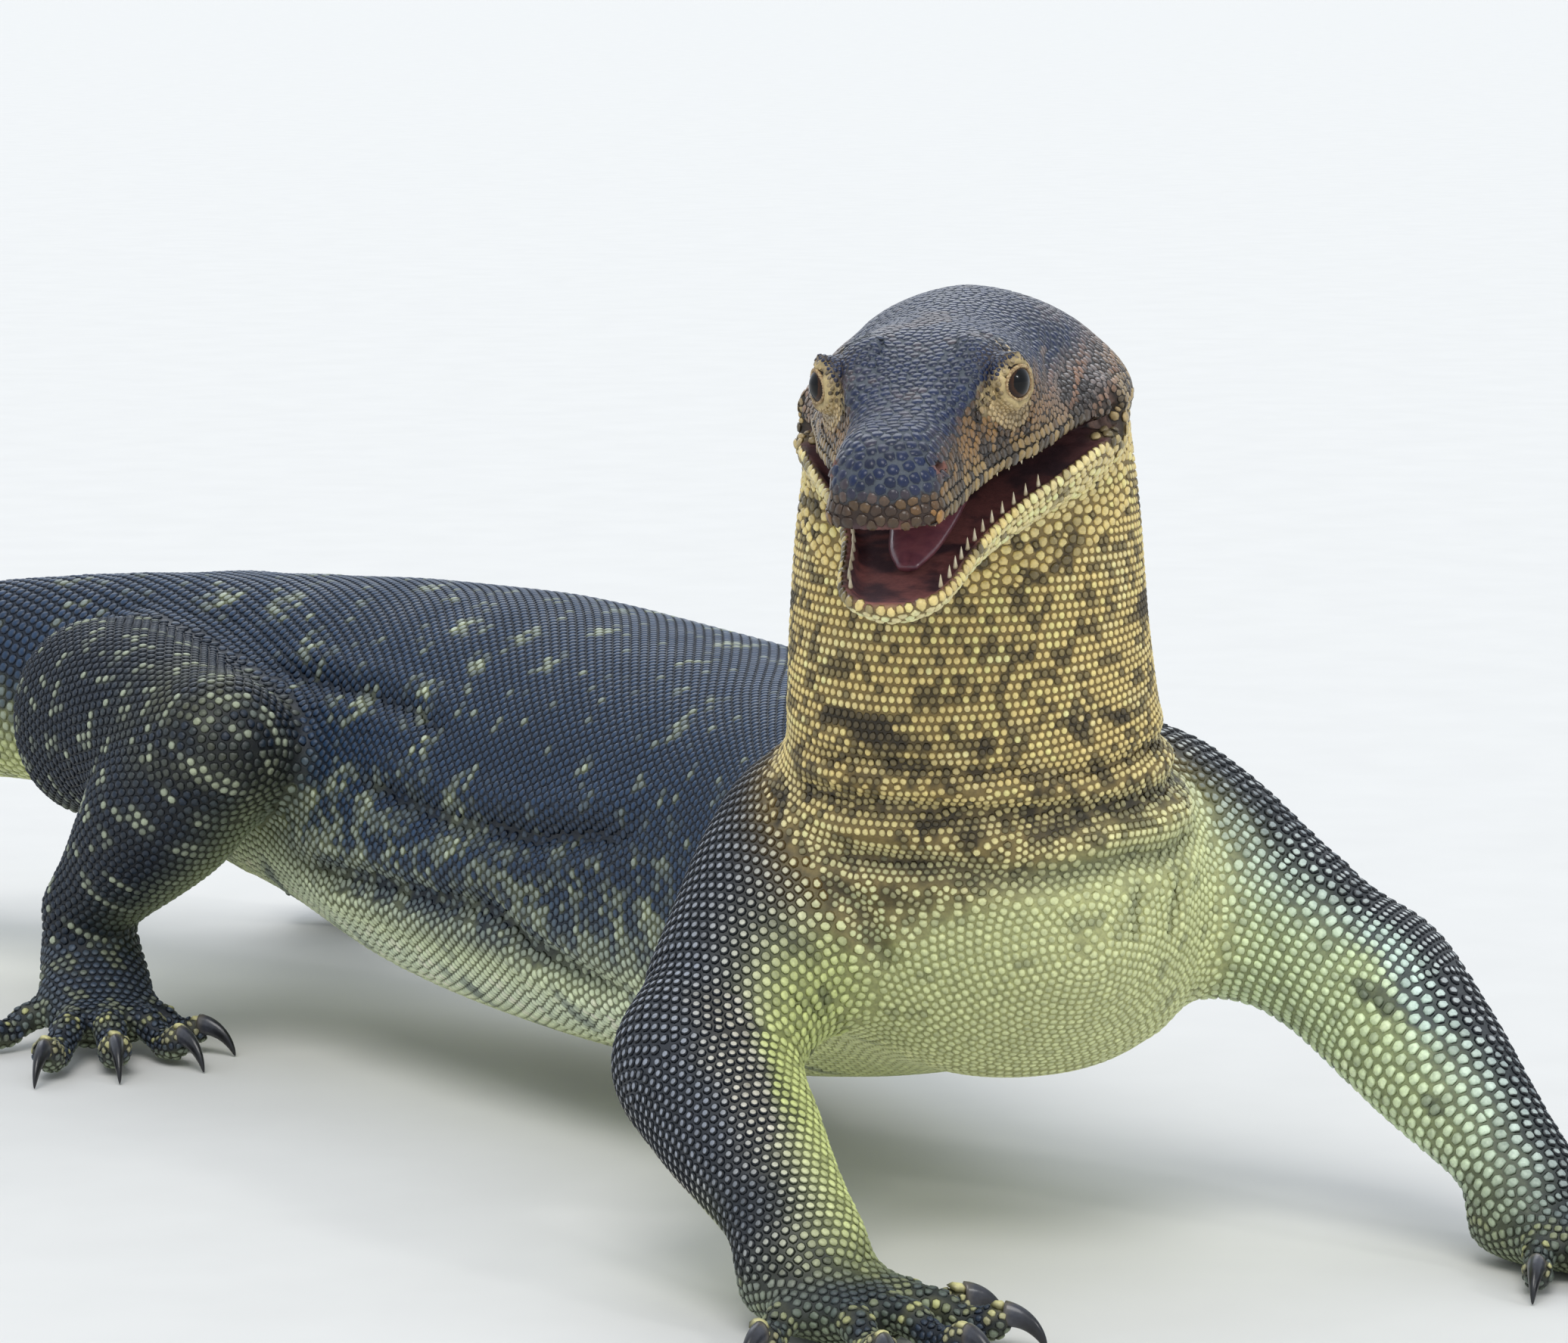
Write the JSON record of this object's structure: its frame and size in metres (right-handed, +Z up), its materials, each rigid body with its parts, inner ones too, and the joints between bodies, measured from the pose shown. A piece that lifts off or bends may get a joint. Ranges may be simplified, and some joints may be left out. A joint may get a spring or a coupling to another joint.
{
  "type": "water monitor lizard",
  "caption": "Life-size still model of a water monitor lizard standing on bent legs, head raised and turned, mouth a little open, long tail on the floor.",
  "frame": {"origin": "under the middle of the model's bounding box, on the floor", "axes": "+Z up, +Y from the head towards the tail along the body, +X to the animal's left"},
  "size_m": [0.379, 1.5583, 0.2398],
  "materials": {
    "dark_hide": "matte, dark scaly skin with pale spots",
    "pale_hide": "matte, yellowish scaly skin with dark flecks",
    "horn": "satin dark horn",
    "eye": "glossy",
    "tongue": "moist"
  },
  "bodies": {
    "root": {"head": "dark_hide", "lower_jaw": "pale_hide", "eye_left": "eye", "eye_right": "eye", "neck": "pale_hide", "tongue": "tongue", "chest": "pale_hide", "belly": "dark_hide", "pelvis": "dark_hide", "tail_1": "dark_hide", "tail_2": "dark_hide", "tail_3": "dark_hide", "tail_4": "dark_hide", "tail_5": "dark_hide", "tail_6": "dark_hide", "fore_right_upper_arm": "dark_hide", "fore_right_forearm": "dark_hide", "fore_right_hand": "dark_hide", "fore_right_claw_1": "horn", "fore_right_claw_2": "horn", "fore_right_claw_3": "horn", "fore_right_claw_4": "horn", "fore_right_claw_5": "horn", "fore_left_upper_arm": "dark_hide", "fore_left_forearm": "dark_hide", "fore_left_hand": "dark_hide", "fore_left_claw_1": "horn", "fore_left_claw_2": "horn", "fore_left_claw_3": "horn", "fore_left_claw_4": "horn", "fore_left_claw_5": "horn", "hind_right_thigh": "dark_hide", "hind_right_shank": "dark_hide", "hind_right_foot": "dark_hide", "hind_right_claw_1": "horn", "hind_right_claw_2": "horn", "hind_right_claw_3": "horn", "hind_right_claw_4": "horn", "hind_right_claw_5": "horn", "hind_left_thigh": "dark_hide", "hind_left_shank": "dark_hide", "hind_left_foot": "dark_hide", "hind_left_claw_1": "horn", "hind_left_claw_2": "horn", "hind_left_claw_3": "horn", "hind_left_claw_4": "horn", "hind_left_claw_5": "horn"}
  },
  "joints": []
}
